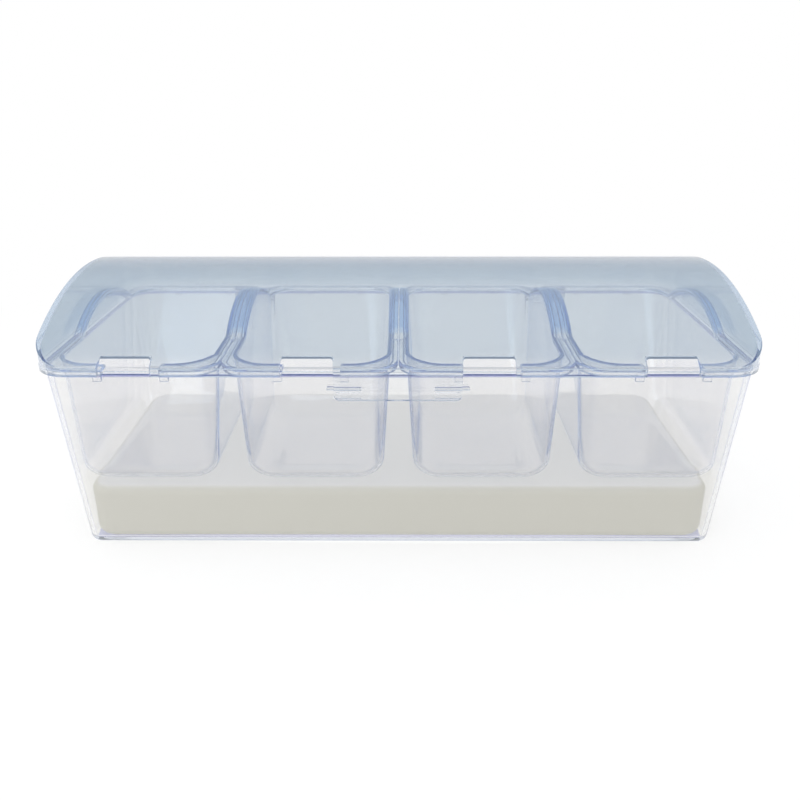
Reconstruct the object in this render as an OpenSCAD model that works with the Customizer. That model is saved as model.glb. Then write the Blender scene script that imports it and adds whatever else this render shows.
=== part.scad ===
// Chilled condiment caddy: a clear drafted tub that holds an ice pack and
// four lift-out scoop cups, under one clear domed lid hinged along the back.
// X runs along the caddy, Y runs from front to back, Z is up.
// The origin is the centre of the flat underside of the tub.

/* [Tub] */
// Length of the tub at its rim
tub_l = 382; // [381:1:382]
// Depth of the tub at its rim
tub_d = 165; // [164.5:0.5:165]
// Height of the tub from its underside to its rim
tub_h = 110; // [109.8:0.2:110.2]
// How far each wall leans in from rim to underside
tub_inset = 8.5; // [8:0.5:8.5]
// Radius of the upright corners at the rim
tub_corner_r = 16; // [15:1:16]
// Radius along the bottom edge
tub_edge_r = 4.5; // [4:0.5:4.5]
// Wall thickness
tub_wall = 2.5; // [2.2:0.3:2.5]
// Floor thickness
tub_floor = 3; // [2.5:0.5:3]

/* [Lid] */
// Length of the lid
lid_l = 385; // [384.5:0.5:385]
// Depth of the lid
lid_d = 177; // [177:0.5:177.5]
// Height of the crown of the dome
lid_top = 146.5; // [146:0.5:146.5]
// How far the crown of the dome lies behind the middle
lid_crown_y = 12; // [11:1:13]
// Height where the front of the dome meets the upright lip
lid_spring = 116; // [115.9:0.1:116.1]
// Height of the bottom of the lip
lid_lip = 111.3; // [111.1:0.2:111.5]
// Radius of the upright corners of the lid
lid_corner_r = 20; // [18:2:22]
// Wall thickness
lid_wall = 2.2; // [2:0.2:2.2]
// Half width of each spoon notch
notch_half_w = 13.8; // [12:1.8:13.8]
// Height of the top of each spoon notch
notch_top = 119.4; // [118.6:0.8:119.4]
// Radius of the upper corners of each spoon notch
notch_r = 1.5; // [1:0.5:1.5]

/* [Latch] */
// Half width of the latch tab on the lid
tab_half_w = 33.6; // [33.2:0.4:33.6]
// Height of the bottom of the latch tab
tab_bottom = 97.9; // [97:0.9:97.9]
// Corner radius of the latch tab
tab_r = 3; // [2:1:4]
// Distance from the middle to the inner end of each catch ledge
ledge_in = 19.4; // [19:0.4:19.4]
// Length of each catch ledge
ledge_l = 18.3; // [17.3:1:18.3]
// Height of the underside of each catch ledge
ledge_z = 102.1; // [101.9:0.2:102.3]
// Thickness of each catch ledge
ledge_t = 1.3; // [1.1:0.2:1.5]
// Length of the thick pad behind each lower corner of the tab
pad_l = 13.2; // [11.2:1:13.2]

/* [Cups] */
// Spacing from one cup to the next
cup_pitch = 95; // [95:0.2:95.2]
// Width of a cup over its flange
flange_w = 94.6; // [94.4:0.2:94.6]
// Depth of a cup over its flange
flange_d = 167; // [166.6:0.4:167]
// Thickness of the flange plate
flange_t = 2; // [1.8:0.2:2.2]
// Height of the rib under the flange edge, which rests on the tub
rib_h = 1.8; // [1.6:0.2:1.8]
// Width of the rib under the flange edge
rib_w = 2.6; // [2.4:0.2:2.8]
// Outer half width of the bowl at the height of the tub's rim
bowl_half_w = 43; // [42.6:0.4:43]
// Outer front of the bowl at the rim, measured from the middle of the tub
bowl_front = 77.4; // [77:0.4:77.4]
// Outer back of the bowl at the rim, measured from the middle of the tub
bowl_back = 79.4; // [79:0.4:79.4]
// Height of the underside of the bowl
bowl_base = 38.5; // [38.5:1.5:40]
// Place where the flat underside would meet the sloping back
bowl_knee = 30; // [26:4:34]
// Wall thickness of a cup
cup_wall = 1.8; // [1.6:0.2:2]
// Radius of the upright corners of a bowl
bowl_corner_r = 21; // [20:1:22]
// Radius between the sides and the underside
bowl_side_r = 15; // [14:1:16]
// Radius between the front and the underside
bowl_front_r = 16; // [14:2:18]
// Radius between the back and the underside
bowl_back_r = 28; // [28:2:30]
// How far the bowl's sides and front lean in from rim to underside
bowl_inset = 4.6; // [4.6:0.4:5]

/* [Cup grips and spoon gap] */
// Front end of the arched grip on each side flange
grip_front = -30; // [-32:2:-28]
// Back end of the arched grip
grip_back = 60; // [58:2:62]
// Rise of the arched grip above the flange
grip_rise = 13.5; // [12:1.5:13.5]
// Left edge of the gap for the spoon handle, from the cup's middle
gap_left = -13.4; // [-14:0.6:-13.4]
// Right edge of the gap for the spoon handle
gap_right = 17.2; // [17:0.2:17.4]
// Radius of the rounded bead that the spoon handle rests on
bead_r = 1.5; // [1.2:0.3:1.5]
// Width of each hook that locates a cup on the tub's rim
hook_w = 4.5; // [3.5:1:4.5]
// Height of the bottom of each hook
hook_bottom = 107; // [106.5:0.5:107.5]
// Thickness of each hook
hook_t = 1.6; // [1.4:0.2:1.6]

/* [Hinge] */
// Distance from the middle to each hinge
hinge_x = 105; // [104:1:106]
// Distance of the hinge line behind the middle of the tub
hinge_y = 90; // [90:0.2:90.4]
// Height of the hinge line
hinge_z = 106; // [105.9:0.1:106.1]
// Width of the lid's knuckle
knuckle_w = 16; // [14:1:16]
// Radius of the lid's knuckle
knuckle_r = 4.3; // [4.1:0.2:4.3]
// Radius of the tub's lugs
lug_r = 4.5; // [4.3:0.2:4.5]
// Width of each lug
lug_w = 4; // [3:1:5]
// Side gap between knuckle and lug
hinge_gap = 0.3; // [0.2:0.1:0.4]
// Radius of the hinge pin
pin_r = 2; // [1.8:0.2:2]
// Radial clearance between pin and knuckle
pin_play = 0.08; // [0.06:0.02:0.08]
// Radial clearance between pin and lugs
lug_play = 0.03; // [0.02:0.01:0.04]
// Radius of the pin's head
pin_head_r = 3.2; // [2.8:0.4:3.2]
// Thickness of the pin's head
pin_head_t = 1.4; // [1.2:0.2:1.6]
// Reach of the stop tail from the hinge line
tail_reach = 7.4; // [7:0.4:7.4]
// Thickness of the stop tail
tail_t = 3; // [2.6:0.4:3]
// Angle at which the stop tail meets the tub's back wall
lid_open = 105; // [100:5:105]

/* [Ice pack] */
// Length of the ice pack
pack_l = 360; // [356:4:360]
// Depth of the ice pack
pack_d = 142.8; // [141.4:1.4:142.8]
// Height of the ice pack
pack_h = 33.2; // [32.2:1:33.2]
// Radius of the upright corners of the ice pack
pack_corner_r = 13; // [12:1:14]
// Radius of the long edges of the ice pack
pack_edge_r = 5; // [5:1:7]
// Wall thickness of the ice pack
pack_wall = 1.6; // [1.4:0.2:1.8]
// Radius of the filler plug in the back of the ice pack
plug_r = 9; // [8:1:10]
// Radius of the plug's spigot
spigot_r = 6.5; // [5.5:1:6.5]
// Thickness of the plug's disc
plug_t = 2; // [1.6:0.4:2]
// Length of the plug's spigot
spigot_l = 4; // [3:1:5]

/* [Hidden] */
$fn = 96;
dome_fn = 240;
grip_fn = 160;
eps = 0.01;
far = 500;
over = 3;
clear_tint = "aliceblue";
lid_tint = "lightsteelblue";
pack_tint = "beige";
coolant_tint = "lightcyan";

cup_x = [for (i = [0 : 3]) (i - 1.5) * cup_pitch];
rim_top = tub_h + rib_h + flange_t;
tub_slope = tub_inset / tub_h;
tub_inner_edge_r = tub_edge_r - 2;
ledge_out = 1.9;
ledge_root = 1.1;
pad_t = 1.8;
pad_root = 0.5;
pad_play = 0.4;
pad_low = tab_bottom + 0.6;
web_drop = 18;
web_rise = 3.6;
web_y = tub_d / 2 - 1.8;
lid_chord = lid_d / 2;
lid_sagitta = lid_top - lid_spring;
lid_reach = lid_chord + lid_crown_y;
lid_r = (lid_reach * lid_reach + lid_sagitta * lid_sagitta) / (2 * lid_sagitta);
lid_centre_z = lid_top - lid_r;
dome_space = 60;
notch_reach = 26;
band_h = 2.8;
band_proud = 0.4;
flange_r = 14;
bowl_slope = bowl_inset / (tub_h - bowl_base);
split_y = -30;
corner_ease = 0.3;
plan_edge_r = 1;
bowl_side_s = bowl_side_r + bowl_inset + 1;
back_angle = atan((tub_h - bowl_base) / (bowl_back - bowl_knee));
grip_space = 40;
grip_foot = 2;
grip_land = 4;
grip_sill = 0.6;
grip_mid = (grip_front + grip_back) / 2;
grip_chord = (grip_back - grip_front) / 2;
grip_r = (grip_chord * grip_chord + grip_rise * grip_rise) / (2 * grip_rise);
grip_centre_z = rim_top + grip_rise - grip_r;
gap_space = 20;
hook_left = -15.8;
hook_right = 19.5;
hook_y = tub_d / 2 + 0.3;
hook_top = tub_h + rib_h + 0.8;
bead_z = tub_h + 0.7;
lug_x = knuckle_w / 2 + hinge_gap;
pin_l = 2 * (lug_x + lug_w);
pack_base = tub_floor;
plug_from_end = 40;
boss_r = plug_r + 2;

// Centre of a round that is tangent to the base line and to a leaning side.
function edge_s(base_s, slope, r) = base_s + slope * r - r * sqrt(1 + slope * slope);

// Half outline of a drafted wall: s is the distance out from the corner centre.
module drafted_half(top_s, slope, z0, z1, r) {
    base_s = top_s - slope * (z1 - z0);
    c = edge_s(base_s, slope, r);
    k = r / sqrt(1 + slope * slope);
    polygon([[0, z0], [c, z0], [c + k, z0 + r - slope * k], [top_s, z1], [0, z1]]);
    translate([c, z0 + r]) circle(r);
}

// Full outline across the box, with a straight middle of half width half_mid.
module drafted_full(half_mid, top_s, slope, z0, z1, r) {
    translate([-half_mid, z0]) square([2 * half_mid, z1 - z0]);
    for (m = [0, 1]) {
        mirror([m, 0]) translate([half_mid, 0]) drafted_half(top_s, slope, z0, z1, r);
    }
}

// Box with leaning walls, conical corners and a round bottom edge.
module drafted_box(mid_x, mid_y, top_s, slope, z0, z1, r) {
    along_x(2 * mid_x) drafted_full(mid_y, top_s, slope, z0, z1, r);
    along_y(2 * mid_y) drafted_full(mid_x, top_s, slope, z0, z1, r);
    for (sx = [-1, 1], sy = [-1, 1]) {
        translate([sx * mid_x, sy * mid_y, 0]) rotate_extrude() drafted_half(top_s, slope, z0, z1, r);
    }
}

// Extrude a Y-Z outline along X, centred.
module along_x(l) {
    rotate([90, 0, 90]) linear_extrude(l, center = true) children();
}

// Extrude an X-Z outline along Y, centred.
module along_y(l) {
    rotate([90, 0, 0]) linear_extrude(l, center = true) children();
}

// Flat rectangle with round corners, centred.
module round_rect(w, d, r) {
    square([w - 2 * r, d], center = true);
    square([w, d - 2 * r], center = true);
    for (sx = [-1, 1], sy = [-1, 1]) {
        translate([sx * (w / 2 - r), sy * (d / 2 - r)]) circle(r);
    }
}

// One catch ledge on the front of the tub.
module ledge() {
    translate([ledge_in, -tub_d / 2 - ledge_out, ledge_z]) cube([ledge_l, ledge_out + ledge_root, ledge_t]);
}

// Pair of lugs behind the tub's back wall, with webs that carry them.
module hinge_lugs() {
    for (s = [-1, 1]) {
        translate([s * (lug_x + lug_w / 2), 0, 0]) along_x(lug_w) {
            translate([hinge_y, hinge_z]) circle(lug_r);
            polygon([
                [web_y, hinge_z - web_drop], [hinge_y, hinge_z - lug_r],
                [hinge_y, hinge_z + web_rise], [web_y, hinge_z + web_rise]
            ]);
        }
    }
}

module tub() {
    color(clear_tint, 0.35) difference() {
        union() {
            drafted_box(tub_l / 2 - tub_corner_r, tub_d / 2 - tub_corner_r, tub_corner_r, tub_slope,
                0, tub_h, tub_edge_r);
            for (m = [0, 1]) {
                mirror([m, 0, 0]) ledge();
            }
            for (s = [-1, 1]) {
                translate([s * hinge_x, 0, 0]) hinge_lugs();
            }
        }
        drafted_box(tub_l / 2 - tub_corner_r, tub_d / 2 - tub_corner_r, tub_corner_r - tub_wall,
            tub_slope, tub_floor, tub_h + eps, tub_inner_edge_r);
        for (s = [-1, 1]) {
            translate([s * hinge_x, hinge_y, hinge_z]) rotate([0, 90, 0])
                cylinder(r = pin_r + lug_play, h = pin_l + 2, center = true);
        }
    }
}

// Solid under the dome, shrunk by g all round for the hollow.
module dome(g, z0) {
    intersection() {
        along_x(lid_l + 2 * over) intersection() {
            translate([lid_crown_y, lid_centre_z]) circle(lid_r - g, $fn = dome_fn);
            translate([-lid_chord - over, z0]) square([2 * (lid_chord + over), dome_space]);
        }
        translate([0, 0, z0 - over]) linear_extrude(dome_space + over)
            round_rect(lid_l - 2 * g, lid_d - 2 * g, lid_corner_r - g);
    }
}

// Proud band along the bottom of the lip.
module lip_band() {
    translate([0, 0, lid_lip]) linear_extrude(band_h)
        round_rect(lid_l + 2 * band_proud, lid_d + 2 * band_proud, lid_corner_r + band_proud);
}

// Space that one spoon notch takes out of the lip.
module spoon_notch() {
    low = lid_lip - over;
    translate([0, -lid_chord, 0]) along_y(notch_reach) {
        translate([-notch_half_w, low]) square([2 * notch_half_w, notch_top - notch_r - low]);
        translate([-notch_half_w + notch_r, low]) square([2 * (notch_half_w - notch_r), notch_top - low]);
        for (s = [-1, 1]) {
            translate([s * (notch_half_w - notch_r), notch_top - notch_r]) circle(notch_r);
        }
    }
}

// Latch tab that hangs from the front lip, with a thick pad in each lower corner.
module latch_tab() {
    translate([0, -lid_chord + lid_wall / 2, 0]) along_y(lid_wall) {
        translate([-tab_half_w, tab_bottom + tab_r])
            square([2 * tab_half_w, lid_lip + 1 - tab_bottom - tab_r]);
        translate([-tab_half_w + tab_r, tab_bottom]) square([2 * (tab_half_w - tab_r), tab_r + 1]);
        for (s = [-1, 1]) {
            translate([s * (tab_half_w - tab_r), tab_bottom + tab_r]) circle(tab_r);
        }
    }
    for (m = [0, 1]) {
        mirror([m, 0, 0]) translate([ledge_in, -lid_chord + lid_wall - pad_root, pad_low])
            cube([pad_l, pad_t, ledge_z - pad_play - pad_low]);
    }
}

// Leaf, knuckle and stop tail of one hinge on the lid.
module lid_knuckle() {
    along_x(knuckle_w) {
        translate([lid_chord - lid_wall, hinge_z]) square([lid_wall, lid_lip + 1 - hinge_z]);
        translate([hinge_y, hinge_z]) circle(knuckle_r);
        translate([hinge_y, hinge_z]) rotate(lid_open - 180) translate([0, -tail_t / 2])
            square([tail_reach, tail_t]);
    }
}

module lid() {
    color(lid_tint, 0.45) difference() {
        union() {
            difference() {
                union() {
                    dome(0, lid_lip);
                    lip_band();
                }
                dome(lid_wall, lid_lip - eps);
            }
            latch_tab();
            for (s = [-1, 1]) {
                translate([s * hinge_x, 0, 0]) lid_knuckle();
            }
        }
        for (x = cup_x) {
            translate([x, 0, 0]) spoon_notch();
        }
        for (s = [-1, 1]) {
            translate([s * hinge_x, hinge_y, hinge_z]) rotate([0, 90, 0])
                cylinder(r = pin_r + pin_play, h = knuckle_w + 2, center = true);
        }
    }
}

// Pin through both lugs and the knuckle, with its head against the outer lug.
module hinge_pin(side) {
    color(clear_tint, 0.5) translate([side * hinge_x, hinge_y, hinge_z]) rotate([0, side * 90, 0]) {
        translate([0, 0, -pin_l / 2]) cylinder(r = pin_r, h = pin_l + eps);
        translate([0, 0, pin_l / 2]) cylinder(r = pin_head_r, h = pin_head_t);
    }
}

module hinge_pin_left() {
    hinge_pin(-1);
}

module hinge_pin_right() {
    hinge_pin(1);
}

// Side outline of a bowl in Y and Z: leaning front, flat base, sloping back.
module bowl_side_outline(g, z1) {
    base = bowl_base + g;
    br = bowl_back_r - g;
    knee = bowl_knee - g / sin(back_angle) + g / tan(back_angle);
    t = br * tan(back_angle / 2);
    polygon([
        [split_y, z1], [split_y, base], [knee - t, base],
        [knee + t * cos(back_angle), base + t * sin(back_angle)],
        [knee + (z1 - base) / tan(back_angle), z1]
    ]);
    translate([knee - t, base + br]) circle(br);
    translate([split_y, 0]) mirror([1, 0])
        drafted_half(bowl_front + split_y - g + bowl_slope * (z1 - tub_h), bowl_slope, base, z1,
            bowl_front_r - g);
}

// Bowl solid, shrunk by g: side outline, front outline and round upright corners together.
module bowl(g, z1) {
    grow = bowl_slope * (z1 - tub_h) - g;
    intersection() {
        along_x(far) bowl_side_outline(g, z1);
        along_y(far) drafted_full(bowl_half_w - bowl_side_s, bowl_side_s + grow, bowl_slope,
            bowl_base + g, z1, bowl_side_r - g);
        translate([0, (bowl_back - bowl_front) / 2, 0])
            drafted_box(bowl_half_w - bowl_corner_r, (bowl_back + bowl_front) / 2 - bowl_corner_r,
                bowl_corner_r + corner_ease + grow, bowl_slope, bowl_base + g - over, z1 + over,
                plan_edge_r);
    }
}

// Flange plate with the rib that stands on the tub's rim.
module flange() {
    translate([0, 0, tub_h + rib_h]) linear_extrude(flange_t) round_rect(flange_w, flange_d, flange_r);
    translate([0, 0, tub_h]) linear_extrude(rib_h + eps) difference() {
        round_rect(flange_w, flange_d, flange_r);
        round_rect(flange_w - 2 * rib_w, flange_d - 2 * rib_w, flange_r - rib_w);
    }
}

// Arched grip on one side: a curved strip of flange over a raised side wall.
module grip() {
    strip_x = bowl_half_w - cup_wall;
    translate([(strip_x + flange_w / 2) / 2, 0, 0]) along_x(flange_w / 2 - strip_x) intersection() {
        difference() {
            translate([grip_mid, grip_centre_z]) circle(grip_r, $fn = grip_fn);
            translate([grip_mid, grip_centre_z]) circle(grip_r - flange_t, $fn = grip_fn);
        }
        translate([grip_front - grip_foot, rim_top - flange_t])
            square([grip_back - grip_front + 2 * grip_foot, grip_space]);
    }
    translate([bowl_half_w - cup_wall / 2, 0, 0]) along_x(cup_wall) intersection() {
        translate([grip_mid, grip_centre_z]) circle(grip_r - flange_t / 2, $fn = grip_fn);
        translate([grip_front, rim_top - flange_t]) square([grip_back - grip_front, grip_space]);
    }
}

// Hooks that reach over the tub's rim at the front and at the back.
module rim_hooks() {
    for (x = [hook_left, hook_right], s = [-1, 1]) {
        translate([x - hook_w / 2, s * (hook_y + hook_t / 2) - hook_t / 2, hook_bottom])
            cube([hook_w, hook_t, hook_top - hook_bottom]);
    }
}

module cup(i) {
    color(clear_tint, 0.4) translate([cup_x[i], 0, 0]) {
        difference() {
            union() {
                bowl(0, tub_h + rib_h + eps);
                flange();
                for (m = [0, 1]) {
                    mirror([m, 0, 0]) grip();
                }
                rim_hooks();
            }
            bowl(cup_wall, rim_top + over);
            under_grips();
            spoon_gap();
        }
        spoon_bead();
    }
}

// Rounded bead along the wall in the spoon gap.
module spoon_bead() {
    translate([gap_left - 1, -bowl_front + cup_wall / 2, bead_z]) rotate([0, 90, 0])
        cylinder(r = bead_r, h = gap_right - gap_left + 2);
}

// Flat flange and rib that the arched grips replace.
module under_grips() {
    shelf = flange_w / 2 - bowl_half_w;
    for (m = [0, 1]) {
        mirror([m, 0, 0]) translate([bowl_half_w + shelf / 2 + over / 2, 0, 0]) along_x(shelf + over)
            intersection() {
                translate([grip_mid, grip_centre_z]) circle(grip_r - flange_t, $fn = grip_fn);
                translate([grip_front + grip_land, tub_h + grip_sill])
                    square([grip_back - grip_front - 2 * grip_land, grip_space]);
            }
    }
}

// Gap in the front flange and wall, above the bead, for the spoon handle.
module spoon_gap() {
    back = bowl_front - cup_wall - 1;
    front = flange_d / 2 + over;
    clear_front = bowl_front + 1;
    translate([gap_left, -front, bead_z]) cube([gap_right - gap_left, front - back, gap_space]);
    translate([gap_left, -front, tub_h - over])
        cube([gap_right - gap_left, front - clear_front, gap_space]);
}

module cup_1() {
    cup(0);
}

module cup_2() {
    cup(1);
}

module cup_3() {
    cup(2);
}

module cup_4() {
    cup(3);
}

// Slab with round upright corners and round long edges, shrunk by g.
module slab(g) {
    mid_x = pack_l / 2 - pack_corner_r;
    mid_y = pack_d / 2 - pack_corner_r;
    s = pack_corner_r - g;
    r = pack_edge_r - g;
    h = pack_h - 2 * g;
    translate([0, 0, pack_base + g]) {
        along_x(2 * mid_x) translate([0, h / 2]) round_rect(2 * (mid_y + s), h, r);
        along_y(2 * mid_y) translate([0, h / 2]) round_rect(2 * (mid_x + s), h, r);
        for (sx = [-1, 1], sy = [-1, 1]) {
            translate([sx * mid_x, sy * mid_y, h / 2]) rotate_extrude() intersection() {
                round_rect(2 * s, h, r);
                translate([0, -h]) square([2 * s, 2 * h]);
            }
        }
    }
}

// Turn a part made along Z so that it points out of the pack's back face.
module at_plug(depth) {
    translate([pack_l / 2 - plug_from_end, pack_d / 2 - depth, pack_base + pack_h / 2])
        rotate([-90, 0, 0]) children();
}

module ice_pack_shell() {
    color(pack_tint) difference() {
        union() {
            difference() {
                slab(0);
                slab(pack_wall);
            }
            at_plug(plug_t + spigot_l) cylinder(r = boss_r, h = plug_t + spigot_l - pack_wall / 2);
        }
        at_plug(plug_t) cylinder(r = plug_r, h = plug_t + 1);
        at_plug(plug_t + spigot_l + 1) cylinder(r = spigot_r, h = spigot_l + 2);
    }
}

module ice_pack_plug() {
    color(pack_tint) {
        at_plug(plug_t) cylinder(r = plug_r, h = plug_t);
        at_plug(plug_t + spigot_l) cylinder(r = spigot_r, h = spigot_l + eps);
    }
}

module ice_pack_coolant() {
    color(coolant_tint) difference() {
        slab(pack_wall);
        at_plug(plug_t + spigot_l) cylinder(r = boss_r, h = plug_t + spigot_l + 1);
    }
}

tub();
lid();
hinge_pin_left();
hinge_pin_right();
cup_1();
cup_2();
cup_3();
cup_4();
ice_pack_shell();
ice_pack_plug();
ice_pack_coolant();
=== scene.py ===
"""Chilled condiment caddy: the looks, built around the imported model.

A clear tub holds an off-white ice pack and four clear scoop cups under one domed lid with a blue
grey tint. Sizes are in millimetres in the classes and become metres when a mesh is placed.
"""

import logging
import math
from collections.abc import Callable, Iterable
from dataclasses import dataclass, replace
from enum import Enum

import bmesh
import bpy
from mathutils import Matrix, Vector


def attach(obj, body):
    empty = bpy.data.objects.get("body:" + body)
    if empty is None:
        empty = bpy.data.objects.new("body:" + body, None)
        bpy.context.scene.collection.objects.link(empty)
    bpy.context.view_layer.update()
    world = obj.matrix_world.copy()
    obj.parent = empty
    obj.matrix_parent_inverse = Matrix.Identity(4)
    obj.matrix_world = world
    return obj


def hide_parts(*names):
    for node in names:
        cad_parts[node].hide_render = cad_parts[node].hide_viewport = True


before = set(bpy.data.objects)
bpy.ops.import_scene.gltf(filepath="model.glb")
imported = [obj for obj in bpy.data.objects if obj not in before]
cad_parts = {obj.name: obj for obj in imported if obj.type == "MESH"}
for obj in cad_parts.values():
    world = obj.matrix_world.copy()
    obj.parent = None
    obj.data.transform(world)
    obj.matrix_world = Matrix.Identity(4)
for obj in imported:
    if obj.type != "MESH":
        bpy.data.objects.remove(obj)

MM = 0.001
WELD = 1e-4  # millimetres between two vertices that are one
WELD_CUTS = 2e-6  # the same in metres, after solids are combined
LEAST_CORNER = 0.3  # the smallest corner radius of a ring
CORNER_FACETS = 6
EYE_SIDES = 48  # of a hinge's lugs and knuckles
SHARP = math.radians(42)  # sharper edges stay sharp in the shading
LEDGE = 0.02  # the least height between two rings, so that the bridge between them can't fold
SIDES = (-1, 1)
WHITE = (1.0, 1.0, 1.0)
LOG = logging.getLogger("caddy")
Pair = tuple[float, float]
RGB = tuple[float, float, float]
Piece = bpy.types.Object
Socket = bpy.types.NodeSocket
Colour = RGB | Socket


class Combine(Enum):
    """How two solids are put together."""

    ADD = "UNION"
    CUT = "DIFFERENCE"
    KEEP_COMMON = "INTERSECT"


class Axis(Enum):
    """The direction a flat outline is extruded in."""

    X = "X"
    Y = "Y"


class Fade(Enum):
    """How a value in a shader goes from one end to the other."""

    SOFT = "SMOOTHSTEP"
    STRAIGHT = "LINEAR"


def settle(piece: Piece) -> None:
    """Make a piece's modifiers part of its mesh.

    Args:
        piece: the object whose modifiers are applied and removed.
    """
    graph = bpy.context.evaluated_depsgraph_get()
    done = bpy.data.meshes.new_from_object(piece.evaluated_get(graph))
    old, piece.data = piece.data, done
    piece.modifiers.clear()
    bpy.data.meshes.remove(old)


def combine(piece: Piece, tool: Piece, how: Combine) -> None:
    """Add, cut or intersect a piece with a tool solid, and remove the tool.

    Args:
        piece: the object that keeps the result.
        tool: the other closed solid.
        how: which way they are combined.
    """
    step = piece.modifiers.new(how.name, "BOOLEAN")
    step.operation = how.value
    step.object = tool
    step.solver = "EXACT"
    settle(piece)
    bpy.data.objects.remove(tool)


def bevel(bm: bmesh.types.BMesh, geom: list, offset: float, segments: int, affect: str) -> None:
    """Round corners or edges of a mesh.

    Args:
        bm: the mesh.
        geom: the vertices or edges.
        offset: how far the rounding reaches.
        segments: how many facets it has.
        affect: whether the vertices or the edges are rounded.
    """
    how = {"offset_type": "OFFSET", "profile": 0.5, "material": -1}
    how["clamp_overlap"] = affect == "EDGES"
    bmesh.ops.bevel(bm, geom=geom, offset=offset, segments=segments, affect=affect, **how)


class Solid:
    """A bmesh in millimetres on its way to becoming an object in metres."""

    def __init__(self) -> None:
        """Start with an empty mesh."""
        self.bm = bmesh.new()

    def place(self, name: str) -> Piece:
        """Turn the mesh into an object at the origin.

        Args:
            name: the object's name.

        Returns:
            The new object, linked to the scene, with outward faces.
        """
        bmesh.ops.remove_doubles(self.bm, verts=self.bm.verts, dist=WELD)
        bmesh.ops.recalc_face_normals(self.bm, faces=self.bm.faces)
        bmesh.ops.scale(self.bm, vec=(MM, MM, MM), verts=self.bm.verts)
        mesh = bpy.data.meshes.new(name)
        self.bm.to_mesh(mesh)
        self.bm.free()
        piece = bpy.data.objects.new(name, mesh)
        bpy.context.scene.collection.objects.link(piece)
        return piece

    def cylinder(
        self, radius: float, length: float, middle: RGB, axis: Axis = Axis.X, segments: int = 32
    ) -> None:
        """Add a closed cylinder.

        Args:
            radius: its radius.
            length: its length.
            middle: the middle of its axis.
            axis: the direction of its axis.
            segments: how many sides it has.
        """
        turn = Matrix.Rotation(math.radians(90), 4, "Y" if axis is Axis.X else "X")
        sizes = {"radius1": radius, "radius2": radius, "depth": length, "segments": segments}
        there = Matrix.Translation(middle) @ turn
        bmesh.ops.create_cone(self.bm, cap_ends=True, matrix=there, **sizes)

    def box(self, low: RGB, high: RGB) -> None:
        """Add a closed box.

        Args:
            low: its lowest corner.
            high: its highest corner.
        """
        size = [b - a for a, b in zip(low, high)]
        middle = [(a + b) / 2 for a, b in zip(low, high)]
        bmesh.ops.create_cube(
            self.bm, size=1.0, matrix=Matrix.Translation(middle) @ Matrix.Diagonal((*size, 1.0))
        )

    def plate(
        self,
        outline: list[Pair],
        axis: Axis,
        low: float,
        high: float,
        rounded: Callable[[Vector], bool] | None = None,
        radius: float = 0.0,
    ) -> None:
        """Extrude a flat outline, with some of its corners rounded.

        Args:
            outline: corner points: (y, z) along X, or (x, z) along Y.
            axis: the direction of the extrusion.
            low: where it starts.
            high: where it ends.
            rounded: says for a corner whether it is rounded.
            radius: the radius of the rounded corners.
        """
        points = [(low, a, b) if axis is Axis.X else (a, low, b) for a, b in outline]
        verts = [self.bm.verts.new(p) for p in points]
        known = set(self.bm.faces)
        self.bm.faces.new(verts)
        chosen = [v for v in verts if rounded is not None and rounded(v.co)]
        if chosen:
            bevel(self.bm, chosen, radius, CORNER_FACETS, "VERTICES")
        faces = [f for f in self.bm.faces if f not in known]
        pulled = bmesh.ops.extrude_face_region(self.bm, geom=faces, use_keep_orig=True)
        moved = [v for v in pulled["geom"] if isinstance(v, bmesh.types.BMVert)]
        push = (high - low, 0, 0) if axis is Axis.X else (0, high - low, 0)
        bmesh.ops.translate(self.bm, vec=push, verts=moved)


@dataclass(frozen=True)
class Level:
    """One round-cornered ring of a lofted wall.

    Attributes:
        half_x: half its width.
        front: its lowest y.
        back: its highest y.
        radius: the radius of its corners.
        z: its height.
    """

    half_x: float
    front: float
    back: float
    radius: float
    z: float

    def grown(self, by: float, z: float | None = None) -> "Level":
        """The same ring made larger all round, at a new height where one is given."""
        corner, height = max(self.radius + by, LEAST_CORNER), self.z if z is None else z
        return Level(self.half_x + by, self.front - by, self.back + by, corner, height)


class Loft(Solid):
    """A closed solid bridged through round-cornered rings, from a first cap to a last cap."""

    def __init__(self, levels: Iterable[Level], corner_steps: int, side_cuts: int = 0) -> None:
        """Bridge the rings.

        Args:
            levels: the rings in order along the surface.
            corner_steps: how many facets each corner has.
            side_cuts: how many extra points each long side gets.
        """
        super().__init__()
        self.corner_steps, self.side_cuts = corner_steps, side_cuts
        rings = [self.ring(level) for level in levels]
        for one, other in zip(rings, rings[1:]):
            bmesh.ops.bridge_loops(self.bm, edges=one + other)
        for ring in (rings[0], rings[-1]):
            bmesh.ops.edgeloop_fill(self.bm, edges=ring)

    def ring(self, level: Level) -> list[bmesh.types.BMEdge]:
        """Make one ring.

        Args:
            level: its size and height.

        Returns:
            The ring's edges.
        """
        known = set(self.bm.edges)
        made = bmesh.ops.create_grid(self.bm, x_segments=1, y_segments=1, size=1.0)["verts"]
        half_y = (level.back - level.front) / 2
        bmesh.ops.scale(self.bm, vec=(level.half_x, half_y, 1.0), verts=made)
        bmesh.ops.translate(self.bm, vec=(0, (level.front + level.back) / 2, level.z), verts=made)
        bevel(self.bm, made, level.radius, self.corner_steps, "VERTICES")
        flat = [e.link_faces[0] for e in self.bm.edges if e not in known][:1]
        bmesh.ops.delete(self.bm, geom=flat, context="FACES_ONLY")
        if self.side_cuts:
            new = [e for e in self.bm.edges if e not in known]
            new.sort(key=lambda e: -abs(e.verts[0].co.y - e.verts[1].co.y))
            bmesh.ops.subdivide_edges(self.bm, edges=new[:2], cuts=self.side_cuts)
        return [e for e in self.bm.edges if e not in known]


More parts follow.
